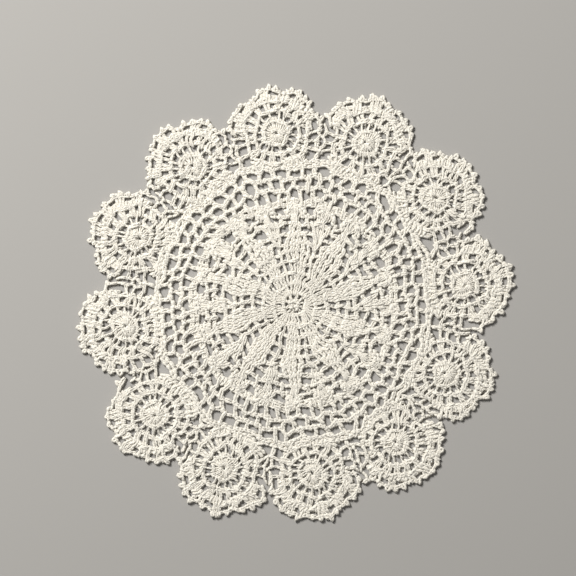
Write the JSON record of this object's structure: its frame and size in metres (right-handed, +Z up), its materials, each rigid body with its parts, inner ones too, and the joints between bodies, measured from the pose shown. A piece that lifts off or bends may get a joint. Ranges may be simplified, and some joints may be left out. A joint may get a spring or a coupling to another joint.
{
  "type": "lace doily",
  "caption": "Round crocheted lace doily lying flat: a petalled medallion opening into a ring of chain mesh, edged with small scalloped wheels joined side by side.",
  "frame": {"origin": "centre of the medallion on the doily's underside", "axes": "+Z up, out of the cloth's face; +X and +Y lie in the cloth, +Y towards the top of the doily as it is looked at from above"},
  "size_m": [0.306, 0.3072, 0.0029],
  "materials": {
    "cotton": "matte twisted cotton thread, cream"
  },
  "bodies": {
    "root": {"medallion": "cotton", "wheel_01": "cotton", "wheel_02": "cotton", "wheel_03": "cotton", "wheel_04": "cotton", "wheel_05": "cotton", "wheel_06": "cotton", "wheel_07": "cotton", "wheel_08": "cotton", "wheel_09": "cotton", "wheel_10": "cotton", "wheel_11": "cotton", "wheel_12": "cotton"}
  },
  "joints": []
}
